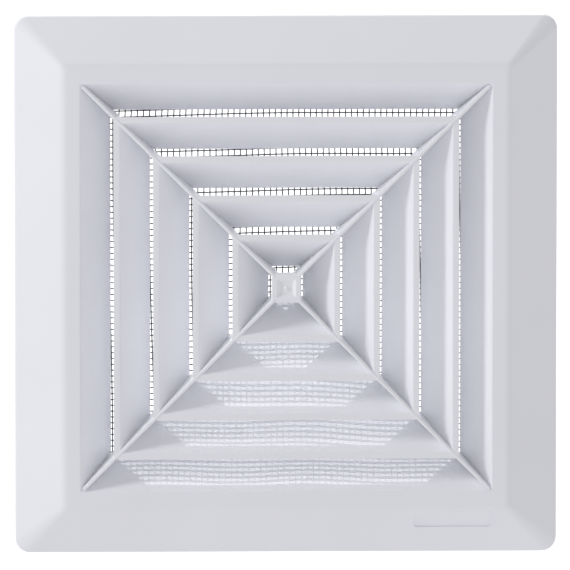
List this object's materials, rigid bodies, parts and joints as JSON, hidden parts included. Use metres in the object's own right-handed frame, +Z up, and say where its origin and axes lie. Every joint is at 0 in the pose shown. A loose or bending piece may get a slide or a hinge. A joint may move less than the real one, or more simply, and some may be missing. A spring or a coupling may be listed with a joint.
{
  "type": "square ceiling air diffuser",
  "caption": "Square four-way ceiling air diffuser with nested louvre cones on a diagonal cross, an insect screen, a neck and sprung ceiling clips.",
  "frame": {"origin": "centre of the plane that seats on the ceiling board, on the duct axis", "axes": "+Y along the duct axis, away from the room; the face looks toward -Y; +Z up in the upright pose of the picture, with the plate panel at the lower right. On a ceiling -Y points down."},
  "size_m": [0.2, 0.0458, 0.2],
  "materials": {
    "white_plastic": "satin injection-moulded ABS, cool white",
    "back_plastic": "fine-textured moulded ABS, cool white",
    "screen_mesh": "dark grey woven wire net, 2.2 mm pitch",
    "foam": "closed-cell foam, dark grey, matt",
    "screw_steel": "zinc-plated",
    "clip_steel": "zinc-plated pressed spring steel",
    "pin_steel": "bright drawn steel",
    "spring_wire": "drawn spring wire"
  },
  "bodies": {
    "housing": {"face_frame": "white_plastic", "insect_screen": "screen_mesh", "screen_frame": "back_plastic", "neck_collar": "back_plastic", "foam_gasket": "foam", "collar_screw_1": "screw_steel", "collar_screw_2": "screw_steel", "collar_screw_3": "screw_steel", "collar_screw_4": "screw_steel", "clip_pin_top": "pin_steel", "clip_spring_top": "spring_wire", "clip_pin_right": "pin_steel", "clip_spring_right": "spring_wire", "clip_pin_bottom": "pin_steel", "clip_spring_bottom": "spring_wire", "clip_pin_left": "pin_steel", "clip_spring_left": "spring_wire"},
    "core": {"louvre_ring_1": "white_plastic", "louvre_ring_2": "white_plastic", "louvre_ring_3": "white_plastic", "louvre_ring_4": "white_plastic", "core_cross": "white_plastic"},
    "clip_top": {"clip_arm_top": "clip_steel"},
    "clip_right": {"clip_arm_right": "clip_steel"},
    "clip_bottom": {"clip_arm_bottom": "clip_steel"},
    "clip_left": {"clip_arm_left": "clip_steel"}
  },
  "joints": [
    {"name": "core_release", "type": "slide", "parent": "housing", "child": "core", "axis": [0, -1, 0], "range_m": [0, 0.03]},
    {"name": "clip_fold_top", "type": "hinge", "parent": "housing", "child": "clip_top", "pos_m": [0, 0.016, 0.0776], "axis": [-1, 0, 0], "range_deg": [0, 90], "stiffness_Nm_per_rad": 0.03, "springref_deg": -28.65, "deforming": ["clip_spring_top"]},
    {"name": "clip_fold_right", "type": "hinge", "parent": "housing", "child": "clip_right", "pos_m": [0.0776, 0.016, 0], "axis": [0, 0, 1], "range_deg": [0, 90], "stiffness_Nm_per_rad": 0.03, "springref_deg": -28.65, "deforming": ["clip_spring_right"]},
    {"name": "clip_fold_bottom", "type": "hinge", "parent": "housing", "child": "clip_bottom", "pos_m": [0, 0.016, -0.0776], "axis": [1, 0, 0], "range_deg": [0, 90], "stiffness_Nm_per_rad": 0.03, "springref_deg": -28.65, "deforming": ["clip_spring_bottom"]},
    {"name": "clip_fold_left", "type": "hinge", "parent": "housing", "child": "clip_left", "pos_m": [-0.0776, 0.016, 0], "axis": [0, 0, -1], "range_deg": [0, 90], "stiffness_Nm_per_rad": 0.03, "springref_deg": -28.65, "deforming": ["clip_spring_left"]}
  ]
}
